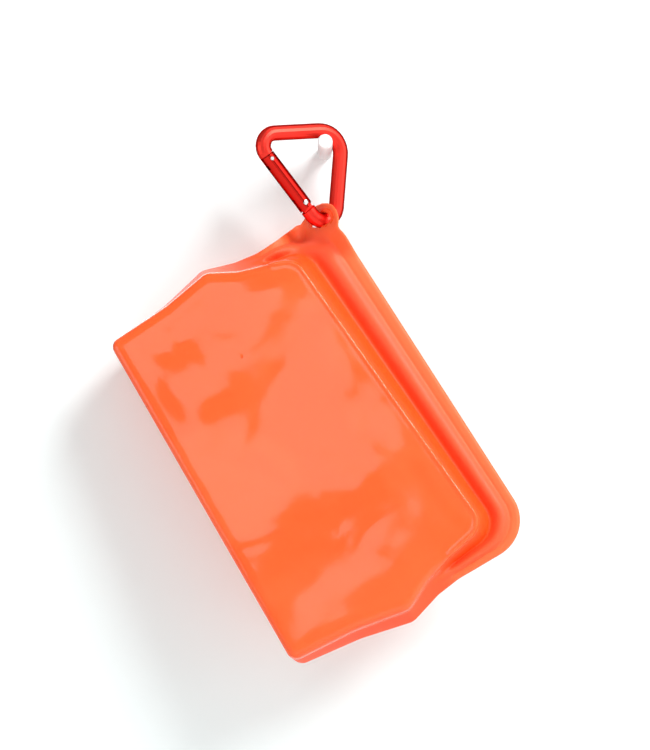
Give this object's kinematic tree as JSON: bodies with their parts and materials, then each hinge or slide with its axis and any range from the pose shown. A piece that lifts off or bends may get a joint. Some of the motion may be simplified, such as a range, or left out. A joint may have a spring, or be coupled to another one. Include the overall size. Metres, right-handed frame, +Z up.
{
  "type": "treat pouch",
  "caption": "Soft silicone treat pouch with a press-seal mouth and a reinforced corner eyelet, hanging closed from a small triangular spring-gate carabiner.",
  "frame": {"origin": "the lowest point of the inside of the carabiner's top corner, where it sits on a peg", "axes": "+Z up as the pouch hangs, +Y from the pouch's front towards its back, +X towards the free end of the mouth's side"},
  "size_m": [0.1412, 0.0492, 0.1879],
  "materials": {
    "coral_silicone": "glossy front and back, satin flange, slightly translucent",
    "red_anodised_aluminium": "anodised, satin gloss",
    "bright_steel": "bright"
  },
  "bodies": {
    "carabiner": {"carabiner_body": "red_anodised_aluminium", "gate_rivet": "bright_steel"},
    "gate": {"gate_sleeve": "red_anodised_aluminium", "latch_pin": "bright_steel", "spring_plunger": "bright_steel", "gate_spring": "bright_steel"},
    "pouch": {"back_shell": "coral_silicone", "base_panel": "coral_silicone", "side_web_free_end": "coral_silicone", "side_web_tab_end": "coral_silicone", "back_lip": "coral_silicone", "free_corner": "coral_silicone", "tab_corner": "coral_silicone"},
    "front": {"front_panel": "coral_silicone", "front_lip": "coral_silicone"}
  },
  "joints": [
    {"name": "gate_open", "type": "hinge", "parent": "carabiner", "child": "gate", "pos_m": [-0.00778, -0.00363, -0.02289], "axis": [-0.4226, 0.9063, 0], "range_deg": [0, 25], "stiffness_Nm_per_rad": 0.05, "springref_deg": -17.19},
    {"name": "pouch_swing", "type": "hinge", "parent": "carabiner", "child": "pouch", "pos_m": [-0.00087, -0.0004, -0.0289], "axis": [0.9063, 0.4226, 0], "range_deg": [-30, 30]},
    {"name": "mouth_open", "type": "hinge", "parent": "pouch", "child": "front", "pos_m": [-0.04326, -0.02533, -0.12554], "axis": [0.502, -0.1564, -0.8506], "range_deg": [0, 14], "stiffness_Nm_per_rad": 0.02, "springref_deg": -11.46, "deforming": ["side_web_free_end", "side_web_tab_end"]}
  ]
}
